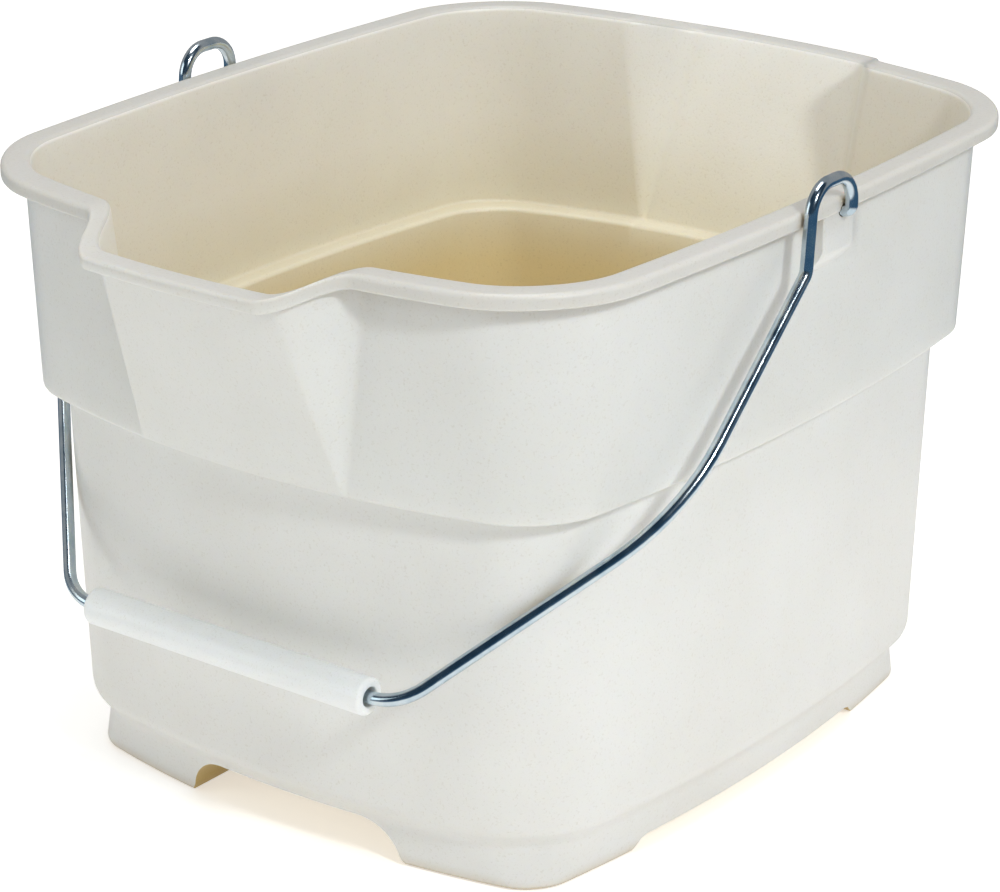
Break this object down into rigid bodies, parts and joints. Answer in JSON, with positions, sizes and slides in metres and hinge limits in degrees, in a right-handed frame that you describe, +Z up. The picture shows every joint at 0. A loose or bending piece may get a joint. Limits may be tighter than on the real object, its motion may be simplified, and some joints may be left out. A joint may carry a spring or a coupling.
{
  "type": "wash bucket",
  "caption": "Rectangular moulded wash bucket with pouring spouts at both ends, a stepped skirt, notched feet and a swinging wire bail with a tube grip.",
  "frame": {"origin": "centre of the overall box at the level the feet stand on", "axes": "+Z up, +X along the long side of the rim towards the end that the bail does not hang over, Y across the bucket along the bail's hinge line"},
  "size_m": [0.4388, 0.331, 0.2781],
  "materials": {
    "body": "satin cream",
    "wire": "bright zinc plated",
    "tube": "satin white"
  },
  "bodies": {
    "bucket": {"bucket": "body"},
    "bail": {"bail": "wire"},
    "grip": {"grip": "tube"}
  },
  "joints": [
    {"name": "bail_swing", "type": "hinge", "parent": "bucket", "child": "bail", "pos_m": [0.0079, 0, 0.259], "axis": [0, 1, 0], "range_deg": [0, 262]},
    {"name": "grip_spin", "type": "hinge", "parent": "bail", "child": "grip", "pos_m": [-0.18594, 0, 0.09209], "axis": [0, 1, 0], "continuous": true}
  ]
}
